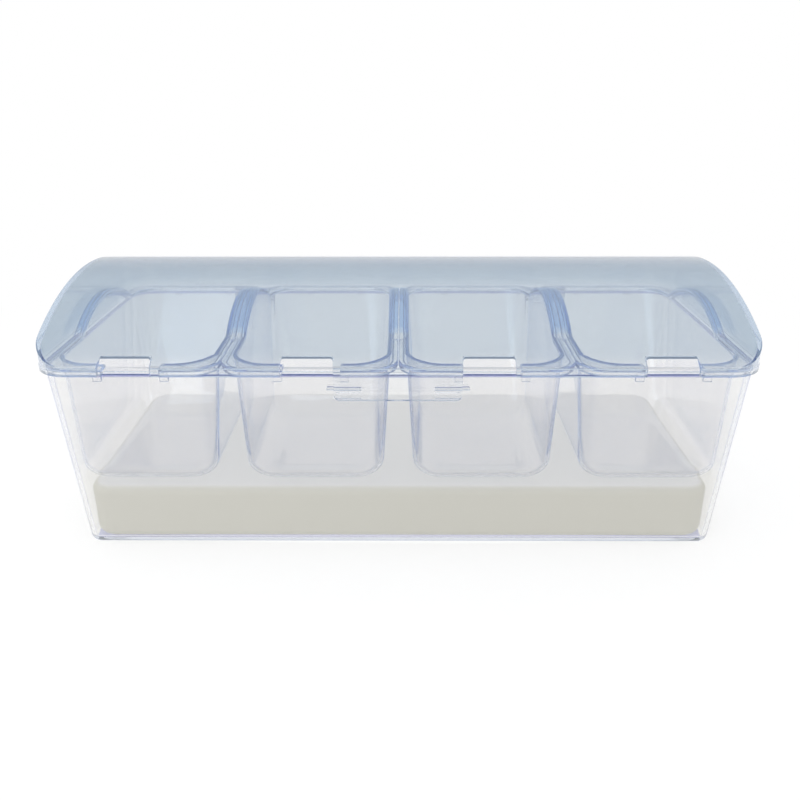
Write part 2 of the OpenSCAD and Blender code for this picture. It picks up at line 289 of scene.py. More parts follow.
def finish_edges(piece: Piece, width: float, angle: float = 50, steps: int = 2) -> None:
    """Round the sharp edges that are left, and shade the piece smoothly.

    Args:
        piece: the object.
        width: the width of the rounding in millimetres.
        angle: edges sharper than this many degrees are rounded.
        steps: how many facets the rounding has.
    """
    rounding = piece.modifiers.new("edge rounding", "BEVEL")
    rounding.width = width * MM
    rounding.segments = steps
    rounding.limit_method = "ANGLE"
    rounding.angle_limit = math.radians(angle)
    rounding.use_clamp_overlap = True
    rounding.miter_outer = "MITER_ARC"
    settle(piece)
    bm = bmesh.new()
    bm.from_mesh(piece.data)
    bmesh.ops.remove_doubles(bm, verts=bm.verts, dist=WELD_CUTS)
    bmesh.ops.dissolve_degenerate(bm, dist=WELD_CUTS / 2, edges=bm.edges)
    for face in bm.faces:
        face.smooth = True
    bm.to_mesh(piece.data)
    bm.free()
    piece.data.set_sharp_from_angle(angle=SHARP)
    even = piece.modifiers.new("even shading", "WEIGHTED_NORMAL")
    even.keep_sharp = True
    settle(piece)


class Wire:
    """One number in a shader. Arithmetic on it adds Math nodes."""

    def __init__(self, graph: "Graph", socket: Socket) -> None:
        """Wrap an output socket of the graph."""
        self.graph, self.socket = graph, socket

    def _math(self, operation: str, first: "Wire | float", second: "Wire | float") -> "Wire":
        """Add a Math node and return its result."""
        node = self.graph.node("ShaderNodeMath", {"operation": operation}, {0: first, 1: second})
        return Wire(self.graph, node.outputs[0])

    def __add__(self, other: "Wire | float") -> "Wire":
        """This plus other."""
        return self._math("ADD", self, other)

    def __radd__(self, other: float) -> "Wire":
        """Other plus this."""
        return self._math("ADD", other, self)

    def __sub__(self, other: "Wire | float") -> "Wire":
        """This minus other."""
        return self._math("SUBTRACT", self, other)

    def __rsub__(self, other: float) -> "Wire":
        """Other minus this."""
        return self._math("SUBTRACT", other, self)

    def __mul__(self, other: "Wire | float") -> "Wire":
        """This times other."""
        return self._math("MULTIPLY", self, other)

    def __rmul__(self, other: float) -> "Wire":
        """Other times this."""
        return self._math("MULTIPLY", other, self)

    def __pow__(self, other: "Wire | float") -> "Wire":
        """This to the power of other."""
        return self._math("POWER", self, other)

    def above(self, other: "Wire | float") -> "Wire":
        """1 where this is above other, else 0."""
        return self._math("GREATER_THAN", self, other)

    def larger(self, other: "Wire | float") -> "Wire":
        """The larger of this and other."""
        return self._math("MAXIMUM", self, other)


class Graph:
    """The node tree of a material or world, built with short calls."""

    def __init__(self, owner: bpy.types.ID) -> None:
        """Empty the owner's node tree.

        Args:
            owner: a material or world.
        """
        owner.use_nodes = True
        self.tree = owner.node_tree
        self.tree.nodes.clear()

    def node(
        self, kind: str, settings: dict | None = None, sockets: dict | None = None
    ) -> bpy.types.Node:
        """Add a node.

        Args:
            kind: the node's type.
            settings: its properties, set first; "stops" gives a ramp's positions and colours.
            sockets: what goes into its inputs by name or number: a value, a Wire or a socket.

        Returns:
            The node.
        """
        node = self.tree.nodes.new(kind)
        for key, value in (settings or {}).items():
            if key == "stops":
                self._stops(node.color_ramp, value)
            else:
                setattr(node, key, value)
        for key, value in (sockets or {}).items():
            if isinstance(value, Wire):
                value = value.socket
            if isinstance(value, Socket):
                self.tree.links.new(value, node.inputs[key])
            else:
                node.inputs[key].default_value = value
        return node

    @staticmethod
    def _stops(ramp: bpy.types.ColorRamp, stops: list[tuple[float, RGB]]) -> None:
        """Write a ramp's stops."""
        while len(ramp.elements) < len(stops):
            ramp.elements.new(0.5)
        for element, (position, colour) in zip(ramp.elements, stops):
            element.position = position
            element.color = (*colour, 1.0)

    def place(self, scale: RGB) -> Socket:
        """Object coordinates stretched along each axis by a scale."""
        where = self.node("ShaderNodeTexCoord").outputs["Object"]
        return self.node("ShaderNodeMapping", {}, {"Vector": where, "Scale": scale}).outputs[0]

    def noise(self, scale: float, detail: float, stretch: RGB = (1.0, 1.0, 1.0)) -> Wire:
        """A noise pattern from 0 to 1, with a scale of blotches to the metre and finer detail."""
        sockets = {"Vector": self.place(stretch), "Scale": scale, "Detail": detail}
        return Wire(self, self.node("ShaderNodeTexNoise", {}, sockets).outputs[0])

    def blend(self, share: Wire, first: Colour, second: Colour) -> Socket:
        """Mix two colours, of which a share of the second shows."""
        ends = [(*c, 1.0) if isinstance(c, tuple) else c for c in (first, second)]
        sockets = {0: share, 6: ends[0], 7: ends[1]}
        return self.node("ShaderNodeMix", {"data_type": "RGBA"}, sockets).outputs[2]

    def part(self, vector: Socket, number: int) -> Wire:
        """One number of a vector: 0 is its x, 1 its y and 2 its z."""
        return Wire(self, self.node("ShaderNodeSeparateXYZ", {}, {0: vector}).outputs[number])

    def fade(
        self,
        value: Wire,
        start: float,
        end: float,
        low: float = 0.0,
        high: float = 1.0,
        kind: Fade = Fade.SOFT,
    ) -> Wire:
        """Go from low to high while a value goes from start to end.

        Args:
            value: the value.
            start: where the change starts.
            end: where it ends.
            low: what it is before the start.
            high: what it is after the end.
            kind: the shape of the change.

        Returns:
            The faded value.
        """
        sockets = {"Value": value, "From Min": start, "From Max": end}
        sockets |= {"To Min": low, "To Max": high}
        settings = {"interpolation_type": kind.value}
        return Wire(self, self.node("ShaderNodeMapRange", settings, sockets).outputs[0])

    def bump(self, height: Wire, strength: float, distance: float) -> Socket:
        """Turn a height pattern, a distance deep in metres, into a bumped normal."""
        sockets = {"Height": height, "Strength": strength, "Distance": distance}
        return self.node("ShaderNodeBump", {}, sockets).outputs[0]

    def pass_light(self, share: Wire, shader: Socket, left: RGB) -> Socket:
        """Let a share of the light straight through a shader.

        Args:
            share: how much goes through.
            shader: the shader.
            left: the colour that is left of white light.

        Returns:
            The mixed shader.
        """
        open_way = self.node("ShaderNodeBsdfTransparent", {}, {"Color": (*left, 1.0)})
        sockets = {0: share, 1: shader, 2: open_way.outputs[0]}
        return self.node("ShaderNodeMixShader", {}, sockets).outputs[0]


@dataclass(frozen=True)
class ClearPlastic:
    """Clear glossy moulded styrene that darkens towards blue where light travels far inside it,
    with painted edge shade in its surface tint.

    Attributes:
        name: the material's name.
        body: its surface tint.
        body_far: the surface tint of the faint clouds in it.
        tint_and_painted_edge_shade: the darker tint above the height where it starts; on the lid it
            is the lid's own blue grey, on the tub and the cups it is painted shade that draws their
            edges dark blue.
        absorbs: the colour that is left of white light inside the plastic.
        density: how fast light is absorbed, per metre.
        shadow: the tint of the light that falls through one face.
        gloss: its lowest roughness.
        bend: its refractive index.
        piped: the tint of light that leaves after it was led along inside a wall.
        tinted: the heights in metres between which the darker tint and painted edge shade fade in.
        side_share: how much of that darker tint and painted edge shade shows on faces that look
            along the caddy.
        foot: the height in metres below which it shows too, as painted shade along the bottom.
        rim: how much of it shows where the surface turns away from the eye, as painted shade that
            draws the silhouettes dark.
        ripple: how strongly the moulded surface ripples.
        clear: how much of the light goes through instead of being scattered by haze.
    """

    name: str
    body: RGB
    body_far: RGB
    tint_and_painted_edge_shade: RGB
    absorbs: RGB
    density: float
    shadow: RGB
    gloss: float
    bend: float
    piped: RGB
    tinted: Pair
    side_share: float
    foot: float
    rim: float
    ripple: float
    clear: float

    def make(self) -> bpy.types.Material:
        """Build the material.

        Returns:
            The material.
        """
        material = bpy.data.materials.new(self.name)
        graph = Graph(material)
        clouds = graph.noise(14.0, 2.0)
        smudges = graph.noise(55.0, 4.0, (1.0, 1.0, 0.4))
        hairlines = graph.noise(900.0, 2.0, (1.0, 0.06, 0.06))
        flow = graph.noise(22.0, 1.0) + 0.003 * hairlines
        plastic = graph.node(
            "ShaderNodeBsdfPrincipled",
            {},
            {
                "Base Color": self.tint(graph, clouds),
                "Roughness": self.gloss + 0.05 * smudges ** 3.0 + 0.02 * hairlines ** 4.0,
                "Normal": graph.bump(flow, self.ripple, 0.0006),
                "Transmission Weight": self.clear,
                "IOR": self.bend,
                "Coat Weight": 0.5,
                "Coat Roughness": 0.03,
            },
        )
        rays = graph.node("ShaderNodeLightPath").outputs
        lamplight = Wire(graph, rays["Is Shadow Ray"]).larger(Wire(graph, rays["Is Diffuse Ray"]))
        led = Wire(graph, rays["Glossy Depth"]).above(1.5)
        shell = graph.pass_light(lamplight, plastic.outputs[0], self.shadow)
        surface = graph.pass_light(led, shell, self.piped)
        body = {"Color": (*self.absorbs, 1.0), "Density": self.density}
        inside = graph.node("ShaderNodeVolumeAbsorption", {}, body).outputs[0]
        graph.node("ShaderNodeOutputMaterial", {}, {"Surface": surface, "Volume": inside})
        return material

    def tint(self, graph: Graph, clouds: Wire) -> Socket:
        """The surface tint: faint clouds, and the darker tint high up, at the foot and at the rim,
        which on the tub and cups is painted edge shade.

        Args:
            graph: the material's nodes.
            clouds: the pattern of the clouds.

        Returns:
            The tint.
        """
        height = graph.part(graph.place(WHITE), 2)
        along = graph.part(graph.node("ShaderNodeNewGeometry").outputs["Normal"], 0)
        facing = graph.node("ShaderNodeLayerWeight", {}, {"Blend": 0.5}).outputs["Facing"]
        sideways = (along * along) ** 2.0
        # Painted shade: above the tinted heights and below the foot the darker tint shows, which on
        # the tub and cups draws edges dark blue.
        share = graph.fade(height, *self.tinted) * (1.0 - (1.0 - self.side_share) * sideways)
        share = share.larger(1.0 - height.above(self.foot))
        # Painted shade: the darker tint also shows where the surface turns away from the eye,
        # drawing dark silhouettes.
        rim = graph.fade(Wire(graph, facing), 0.7, 0.82, 0.0, self.rim, Fade.STRAIGHT)
        plain = graph.blend(clouds, self.body, self.body_far)
        return graph.blend(share.larger(rim), plain, self.tint_and_painted_edge_shade)


@dataclass(frozen=True)
class BlownPlastic:
    """Satin blown polyethylene, a little uneven in colour and surface.

    Attributes:
        name: the material's name.
        pale: its palest tone.
        deep: its deepest tone.
        painted_top_light: the lighter tone of the faces that look up, painted light on the tops.
        rough: its mean roughness.
        grain: how strongly its fine grain shows.
    """

    name: str
    pale: RGB
    deep: RGB
    painted_top_light: RGB
    rough: float
    grain: float

    def make(self) -> bpy.types.Material:
        """Build the material.

        Returns:
            The material.
        """
        material = bpy.data.materials.new(self.name)
        graph = Graph(material)
        clouds = graph.noise(9.0, 3.0)
        specks = graph.noise(420.0, 2.0) ** 6.0
        grain = graph.noise(1400.0, 3.0)
        waves = graph.noise(30.0, 1.0)
        upward = graph.part(graph.node("ShaderNodeNewGeometry").outputs["Normal"], 2)
        skin_tone = graph.blend(clouds * 0.8 + specks, self.pale, self.deep)
        # Painted light: faces that look up are lighter.
        tone = graph.blend(upward.larger(0.0) ** 8.0, skin_tone, self.painted_top_light)
        skin = graph.node(
            "ShaderNodeBsdfPrincipled",
            {},
            {
                "Base Color": tone,
                "Roughness": self.rough + 0.12 * (clouds - 0.5) + 0.06 * grain,
                "Normal": graph.bump(waves + 0.05 * grain, self.grain, 0.0008),
                "IOR": 1.5,
            },
        )
        graph.node("ShaderNodeOutputMaterial", {}, {"Surface": skin.outputs[0]})
        return material


CLEAR = ClearPlastic(
    name="clear styrene",
    body=(0.968, 0.963, 0.966),
    body_far=(0.955, 0.95, 0.955),
    # Painted shade: dark blue on the cups' arched grips.
    tint_and_painted_edge_shade=(0.52, 0.68, 0.92),
    absorbs=(0.25, 0.4, 0.7),
    density=5.0,
    shadow=(0.985, 0.985, 0.985),
    gloss=0.015,
    bend=1.45,
    piped=(0.8, 0.86, 0.965),
    tinted=(0.1144, 0.1152),
    side_share=0.1,
    foot=0.0,
    rim=0.0,
    ripple=0.03,
    clear=0.985,
)
CLEAR_TUB = replace(
    CLEAR,
    name="clear styrene of the tub",
    body=(0.968, 0.965, 0.955),
    body_far=(0.958, 0.952, 0.94),
    # Painted shade: navy on the tub's rim, foot and silhouettes.
    tint_and_painted_edge_shade=(0.36, 0.38, 0.66),
    tinted=(0.1084, 0.1092),
    side_share=1.0,
    foot=0.0008,
    rim=0.85,
    ripple=0.01,
    piped=(0.86, 0.875, 0.9),
)
SMOKY = replace(
    CLEAR,
    name="smoky styrene",
    body=(0.96, 0.965, 0.97),
    body_far=(0.95, 0.955, 0.965),
    tint_and_painted_edge_shade=(0.64, 0.71, 0.77),
    absorbs=(0.3, 0.55, 0.9),
    density=6.0,
    shadow=(0.92, 0.935, 0.95),
    gloss=0.03,
    bend=1.4,
    piped=(0.74, 0.8, 0.87),
    tinted=(0.108, 0.122),
    side_share=1.0,
)
PACK = BlownPlastic(
    name="pack polyethylene",
    pale=(0.575, 0.565, 0.5),
    deep=(0.53, 0.52, 0.455),
    # Painted light on the pack's tops.
    painted_top_light=(0.71, 0.7, 0.685),
    rough=0.46,
    grain=0.25,
)
GEL = BlownPlastic(
    name="coolant gel",
    pale=(0.8, 0.88, 0.9),
    deep=(0.68, 0.8, 0.84),
    # Painted light on the gel's tops.
    painted_top_light=(0.82, 0.9, 0.92),
    rough=0.2,
    grain=0.1,
)


def arc_steps(radius: float, count: int, last: float = 84.0) -> list[float]:
    """Heights from 0 up at which a bottom edge of a radius gets its rings, to a last angle."""
    return [radius * (1 - math.cos(math.radians(last * i / (count - 1)))) for i in range(count)]


def upright(x: float, half: float, low: float, high: float) -> list[Pair]:
    """The outline of an upright rectangle around x, from a low to a high edge."""
    return [(x - half, low), (x + half, low), (x + half, high), (x - half, high)]


@dataclass(frozen=True)
class HingeLine:
    """Where the lid's two hinges stand, left and right of the middle."""

    x: float = 105.0
    y: float = 90.0
    z: float = 106.0

    def bores(self, radius: float, length: float) -> Piece:
        """The tool that cuts both pin holes, with their radius and length."""
        made = Solid()
        for side in SIDES:
            made.cylinder(radius, length, (side * self.x, self.y, self.z))
        return made.place("bores")


HINGE = HingeLine()


@dataclass
class Tub:
    """The clear tub with its catch ledges and hinge lugs."""

    half_x: float = 191.0
    half_y: float = 82.5
    height: float = 110.0
    lean: float = 8.5
    corner: float = 16.0
    edge: float = 4.5
    wall: float = 2.5
    floor: float = 3.0
    rim_round: float = 0.6
    ledge_x: Pair = (19.4, 37.7)
    ledge_z: Pair = (102.1, 103.4)
    ledge_out: float = 1.9
    ledge_root: float = 1.1
    lug_radius: float = 4.5
    lug_x: Pair = (8.3, 12.3)
    lug_root: float = 1.8
    lug_drop: float = 18.0
    lug_top: float = 3.6
    bore: float = 2.03
    bore_l: float = 30.0
    inner_edge: float = 2.5
    edge_rings: int = 7
    wall_rings: int = 13
    rim_chamfer: float = 0.18

    def level(self, z: float, inward: float = 0.0) -> Level:
        """The ring of the leaning wall at a height, on its outside or inward of it."""
        back = self.lean * (self.height - z) / self.height + inward
        return Level(self.half_x, -self.half_y, self.half_y, self.corner, z).grown(-back)

    def rings(self) -> list[Level]:
        """All rings: the outside up to the rim, then the inside down to the floor."""
        turn, small, top, cut = self.edge_rings, self.inner_edge, self.height, self.rim_chamfer
        outer = [self.level(h).grown(-self._tuck(h, self.edge)) for h in arc_steps(self.edge, turn)]
        step = (top - self.edge) / (self.wall_rings + 1)
        between = [self.edge + step * (i + 1) for i in range(self.wall_rings)]
        outer += [self.level(z) for z in between]
        rim = [
            self.level(top - self.rim_round),
            self.level(top - cut).grown(-cut),
            self.level(top).grown(-self.rim_round),
            self.level(top - LEDGE, self.wall).grown(self.rim_round),
            self.level(top - cut, self.wall).grown(cut),
            self.level(top - self.rim_round, self.wall),
        ]
        inner = [self.level(z, self.wall) for z in reversed(between)]
        inner += [
            self.level(self.floor + h, self.wall).grown(-self._tuck(h, small))
            for h in reversed(arc_steps(small, turn))
        ]
        return outer + rim + inner

    @staticmethod
    def _tuck(height: float, radius: float) -> float:
        """How far a bottom edge's arc lies inside the wall at a height above the base."""
        return radius - math.sqrt(max(radius ** 2 - (radius - height) ** 2, 0.0))

    def extras(self) -> Piece:
        """The ledges and lugs as one tool solid."""
        made = Solid()
        for side in SIDES:
            low, high = sorted(side * x for x in self.ledge_x)
            made.box(
                (low, -self.half_y - self.ledge_out, self.ledge_z[0]),
                (high, -self.half_y + self.ledge_root, self.ledge_z[1]),
            )
        tool = made.place("tub extras")
        for side in SIDES:
            for ends in (self.lug_x, tuple(-x for x in reversed(self.lug_x))):
                low, high = (side * HINGE.x + x for x in ends)
                combine(tool, self.lug(low, high), Combine.ADD)
        return tool

    def lug(self, low: float, high: float) -> Piece:
        """One hinge lug: a web with a round eye.

        Args:
            low: where it starts along X.
            high: where it ends along X.

        Returns:
            The lug as a tool solid.
        """
        web = Solid()
        root, top = self.half_y - self.lug_root, HINGE.z + self.lug_top
        foot = HINGE.z - self.lug_drop
        outline = [(root, foot), (HINGE.y, HINGE.z - self.lug_radius), (HINGE.y, top), (root, top)]
        web.plate(outline, Axis.X, low, high)
        lug = web.place("lug")
        eye = Solid()
        middle = ((low + high) / 2, HINGE.y, HINGE.z)
        eye.cylinder(self.lug_radius, high - low, middle, segments=EYE_SIDES)
        combine(lug, eye.place("eye"), Combine.ADD)
        return lug

    def build(self) -> Piece:
        """Build and dress the tub.

        Returns:
            The piece.
        """
        piece = Loft(self.rings(), corner_steps=40).place("tub_body")
        combine(piece, self.extras(), Combine.ADD)
        combine(piece, HINGE.bores(self.bore, self.bore_l), Combine.CUT)
        finish_edges(piece, 0.3)
        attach(piece, "tub")
        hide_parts("tub")
        return piece


@dataclass
class Lid:
    """The domed lid with its lip band, spoon notches, latch tab and hinge knuckles."""

    half_x: float = 192.5
    half_y: float = 88.5
    crown: float = 146.5
    crown_y: float = 12.0
    spring: float = 116.0
    lip: float = 111.3
    corner: float = 20.0
    wall: float = 2.2
    band_h: float = 2.8
    band_out: float = 0.4
    crease: float = 0.6
    notch_x: tuple[float, ...] = (-142.5, -47.5, 47.5, 142.5)
    notch_half: float = 13.8
    notch_top: float = 119.4
    notch_round: float = 1.5
    tab_half: float = 33.6
    tab_low: float = 97.9
    tab_round: float = 3.0
    pad_x: Pair = (19.4, 32.6)
    pad_z: Pair = (98.5, 101.7)
    pad_t: float = 1.8
    pad_root: float = 0.5
    tab_root: float = 1.0
    knuckle_half: float = 8.0
    knuckle_radius: float = 4.3
    tail_reach: float = 7.4
    tail_t: float = 3.0
    opening: float = 105.0
    bore: float = 2.08
    bore_l: float = 20.0
    over: float = 5.0
    reach: float = 13.0
    dome_l: float = 420.0
    dome_sides: int = 480

    @property
    def radius(self) -> float:
        """The radius of the dome across the caddy."""
        rise = self.crown - self.spring
        return ((self.half_y + self.crown_y) ** 2 + rise ** 2) / (2 * rise)

    def dome(self, inward: float) -> Piece:
        """The solid under the dome.

        Args:
            inward: how far it is shrunk all round.

        Returns:
            The solid as an object.
        """
        ring = Level(self.half_x, -self.half_y, self.half_y, self.corner, self.lip).grown(-inward)
        band = ring.grown(self.band_out)
        step, roof = self.lip + self.band_h, ring.grown(0, self.crown + self.over)
        rings = [band, band.grown(0, step), ring.grown(0, step + LEDGE), roof]
        if inward:
            rings = [ring.grown(0, self.lip - 2), roof]
        solid = Loft(rings, corner_steps=14).place("dome")
        round_over = Solid()
        middle = (0, self.crown_y, self.crown - self.radius)
        round_over.cylinder(self.radius - inward, self.dome_l, middle, segments=self.dome_sides)
        combine(solid, round_over.place("round over"), Combine.KEEP_COMMON)
        self.soften(solid, self.crease if not inward else self.crease * 0.5)
        return solid

    def soften(self, solid: Piece, width: float) -> None:
        """Round the crease between the dome and its upright sides to a width."""
        bm = bmesh.new()
        bm.from_mesh(solid.data)
        bmesh.ops.remove_doubles(bm, verts=bm.verts, dist=1e-5)
        above = (self.spring - 0.6) * MM
        sharp = [
            e
            for e in bm.edges
            if e.is_manifold
            and e.calc_face_angle(0.0) > math.radians(25)
            and min(v.co.z for v in e.verts) > above
        ]
        bevel(bm, sharp, width * MM, 4, "EDGES")
        bm.to_mesh(solid.data)
        bm.free()

    def notches(self) -> Piece:
        """The tool that cuts the spoon notches."""
        made = Solid()
        ends = (-self.half_y - self.reach, -self.half_y + self.reach)
        for x in self.notch_x:
            outline = upright(x, self.notch_half, self.lip - 3, self.notch_top)
            made.plate(outline, Axis.Y, *ends, lambda co: co.z > self.lip, self.notch_round)
        return made.place("notches")

    def tab(self) -> Piece:
        """The latch tab with its pads as a tool solid."""
        made = Solid()
        outline = upright(0, self.tab_half, self.tab_low, self.lip + self.tab_root)
        ends = (-self.half_y, -self.half_y + self.wall)
        made.plate(outline, Axis.Y, *ends, lambda co: co.z < self.lip, self.tab_round)
        tab = made.place("tab")
        near = ends[1] - self.pad_root
        for side in SIDES:
            low, high = sorted(side * x for x in self.pad_x)
            pad = Solid()
            pad.box((low, near, self.pad_z[0]), (high, near + self.pad_t, self.pad_z[1]))
            combine(tab, pad.place("pad"), Combine.ADD)
        return tab

    def knuckle(self, middle: float) -> Piece:
        """Leaf, knuckle and stop tail of one hinge as a tool solid.

        Args:
            middle: where it stands along X.

        Returns:
            The tool.
        """
        low, high = middle - self.knuckle_half, middle + self.knuckle_half
        leaf, top = Solid(), self.lip + self.tab_root
        leaf.box((low, self.half_y - self.wall, HINGE.z), (high, self.half_y, top))
        tool = leaf.place("leaf")
        barrel, axis = Solid(), (middle, HINGE.y, HINGE.z)
        barrel.cylinder(self.knuckle_radius, high - low, axis, segments=EYE_SIDES)
        combine(tool, barrel.place("barrel"), Combine.ADD)
        tail = Solid()
        tail.box((low, 0, -self.tail_t / 2), (high, self.tail_reach, self.tail_t / 2))
        turn = Matrix.Rotation(math.radians(self.opening - 180), 4, "X")
        there = Matrix.Translation((0, HINGE.y, HINGE.z))
        bmesh.ops.transform(tail.bm, matrix=there @ turn, verts=tail.bm.verts)
        combine(tool, tail.place("tail"), Combine.ADD)
        return tool

    def build(self) -> Piece:
        """Build and dress the lid.

        Returns:
            The piece.
        """
        piece = self.dome(0.0)
        combine(piece, self.dome(self.wall), Combine.CUT)
        combine(piece, self.tab(), Combine.ADD)
        for side in SIDES:
            combine(piece, self.knuckle(side * HINGE.x), Combine.ADD)
        combine(piece, self.notches(), Combine.CUT)
        combine(piece, HINGE.bores(self.bore, self.bore_l), Combine.CUT)
        piece.name = "lid_dome"
        finish_edges(piece, 0.3, angle=48)
        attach(piece, "lid")
        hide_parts("lid")
        return piece


@dataclass
class Cup:
    """One clear scoop cup that hangs in the tub by its flange."""

    number: int
    pitch: float = 95.0
    rim: float = 110.0
    flange_half: float = 47.3
    flange_y: float = 83.5
    flange_corner: float = 14.0
    flange_t: float = 2.0
    rib_h: float = 1.8
    rib_w: float = 2.6
    half_x: float = 43.0
    front: float = 77.4
    back: float = 79.4
    base: float = 38.5
    knee: float = 30.0
    wall: float = 1.8
    corner: float = 21.0
    side_r: float = 15.0
    front_r: float = 16.0
    back_r: float = 28.0
    lean: float = 4.6
    grip: Pair = (-30.0, 60.0)
    grip_rise: float = 13.5
    gap: Pair = (-13.4, 17.2)
    bead_r: float = 1.5
    bead_z: float = 110.7
    hooks: Pair = (-15.8, 19.5)
    hook_w: float = 4.5
    hook_y: Pair = (82.8, 84.4)
    hook_z: Pair = (107.0, 112.6)
    taper: float = 7.0
    waist: float = 0.86
    arc_rings: int = 10
    wall_z: Pair = (80.0, 98.0)
    over: float = 20.0

    @property
    def slope(self) -> float:
        """How far the sides lean in per millimetre of height."""
        return self.lean / (self.rim - self.base)

    def side(self, reach: float, radius: float, z: float, inward: float) -> float:
        """How far a leaning side with a round bottom edge stands out at a height.

        Args:
            reach: how far it stands out at the rim.
            radius: the radius of its bottom edge.
            z: the height.
            inward: how far inside the outer face it lies.

        Returns:
            The distance out.
        """
        r = radius - inward
        base = self.base + inward
        foot = reach - inward - self.slope * (self.rim - base)
        middle = foot + self.slope * r - r * math.hypot(1, self.slope)
        k = r / math.hypot(1, self.slope)
        if z >= base + r - self.slope * k:
            return reach - inward - self.slope * (self.rim - z)
        return middle + math.sqrt(max(r ** 2 - (base + r - z) ** 2, 0.0))

    def back_at(self, z: float, inward: float) -> float:
        """The y of the sloping back at a height, on its outer face or inward of it."""
        angle = math.atan((self.rim - self.base) / (self.back - self.knee))
        base, r = self.base + inward, self.back_r - inward
        knee = self.knee - inward / math.sin(angle) + inward / math.tan(angle)
        tangent = r * math.tan(angle / 2)
        if z >= base + tangent * math.sin(angle):
            return knee + (z - base) / math.tan(angle)
        return knee - tangent + math.sqrt(max(r ** 2 - (base + r - z) ** 2, 0.0))

    def level(self, z: float, inward: float) -> Level:
        """The bowl's ring at a height, on its outer face or inward of it."""
        half = self.side(self.half_x, self.side_r, z, inward)
        corner = self.corner - inward - self.slope * (self.rim - z)
        top = min(self.back_at(z, inward), self.back - inward + self.slope * (z - self.rim))
        return Level(
            half,
            -self.side(self.front, self.front_r, z, inward),
            top,
            min(corner - self.taper * (self.rim - z) / (self.rim - self.base), half * self.waist),
            z,
        )

    def rings(self) -> list[Level]:
        """All rings: outside of the bowl, flange and rib, then down the inside."""
        outer = [self.level(self.base + h, 0) for h in arc_steps(self.side_r, self.arc_rings)]
        under = self.rim + self.rib_h
        top = under + self.flange_t
        outer += [self.level(z, 0) for z in (*self.wall_z, under - 0.8)]
        outer.append(self.level(under - 0.25, 0).grown(0.25))
        outer.append(self.level(under, 0).grown(0.8))
        edge = Level(self.flange_half, -self.flange_y, self.flange_y, self.flange_corner, self.rim)
        rib = edge.grown(-self.rib_w)
        outer += [
            rib.grown(-0.4, under - 0.03),
            rib.grown(0, under - 0.4),
            rib.grown(0, self.rim + 0.3),
            rib.grown(0.3, self.rim + 0.03),
            edge.grown(-0.4, self.rim),
            edge.grown(-0.1, self.rim + 0.1),
            edge.grown(0, self.rim + 0.4),
            edge.grown(0, top - 0.7),
            edge.grown(-0.2, top - 0.2),
            edge.grown(-0.7, top),
        ]
        mouth = self.level(top - 0.9, self.wall)
        inner = [mouth.grown(0.9, top - LEDGE), mouth.grown(0.26, top - 0.26), mouth]
        inner += [self.level(z, self.wall) for z in reversed(self.wall_z)]
        floor, turn = self.base + self.wall, arc_steps(self.side_r - self.wall, self.arc_rings)
        inner += [self.level(floor + h, self.wall) for h in reversed(turn)]
        return outer + inner

    def raise_grips(self, bm: bmesh.types.BMesh) -> None:
        """Arch the side flanges up into the grips.

        Args:
            bm: the lofted cup, in millimetres.
        """
        middle, chord = sum(self.grip) / 2, (self.grip[1] - self.grip[0]) / 2
        radius = (chord ** 2 + self.grip_rise ** 2) / (2 * self.grip_rise)
        inside = self.half_x - self.wall - 1.5
        for v in bm.verts:
            off = abs(v.co.y - middle)
            if v.co.z > self.rim - 1.0 and abs(v.co.x) > inside and off < chord:
                v.co.z += math.sqrt(radius ** 2 - off ** 2) - (radius - self.grip_rise)

    def gap_tool(self) -> Piece:
        """The tool that cuts the spoon gap out of the flange and wall."""
        made = Solid()
        edge, face = -self.flange_y - 3, -self.front - 1
        behind, low, high = -self.front + self.wall + 1.5, self.rim - 3, self.rim + self.over
        outline = [(edge, low), (face, low), (face, self.bead_z)]
        outline += [(behind, self.bead_z), (behind, high), (edge, high)]
        made.plate(outline, Axis.X, *self.gap)
        return made.place("gap")

    def extras(self) -> Piece:
        """The bead and the rim hooks as one tool solid."""
        made = Solid()
        low, high = self.gap
        middle = ((low + high) / 2, -self.front + self.wall / 2, self.bead_z)
        made.cylinder(self.bead_r, high - low + 2, middle)
        half = self.hook_w / 2
        for x in self.hooks:
            for side in SIDES:
                near, far = sorted(side * y for y in self.hook_y)
                made.box((x - half, near, self.hook_z[0]), (x + half, far, self.hook_z[1]))
        return made.place("cup extras")

    def build(self) -> Piece:
        """Build and dress the cup.

        Returns:
            The piece.
        """
        loft = Loft(self.rings(), corner_steps=14, side_cuts=34)
        self.raise_grips(loft.bm)
        piece = loft.place(f"scoop_cup_{self.number}")
        combine(piece, self.gap_tool(), Combine.CUT)
        combine(piece, self.extras(), Combine.ADD)
        finish_edges(piece, 0.25)
        shift = (self.number - 2.5) * self.pitch * MM
        piece.data.transform(Matrix.Translation((shift, 0, 0)))
        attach(piece, f"cup_{self.number}")
        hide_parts(f"cup_{self.number}")
        return piece


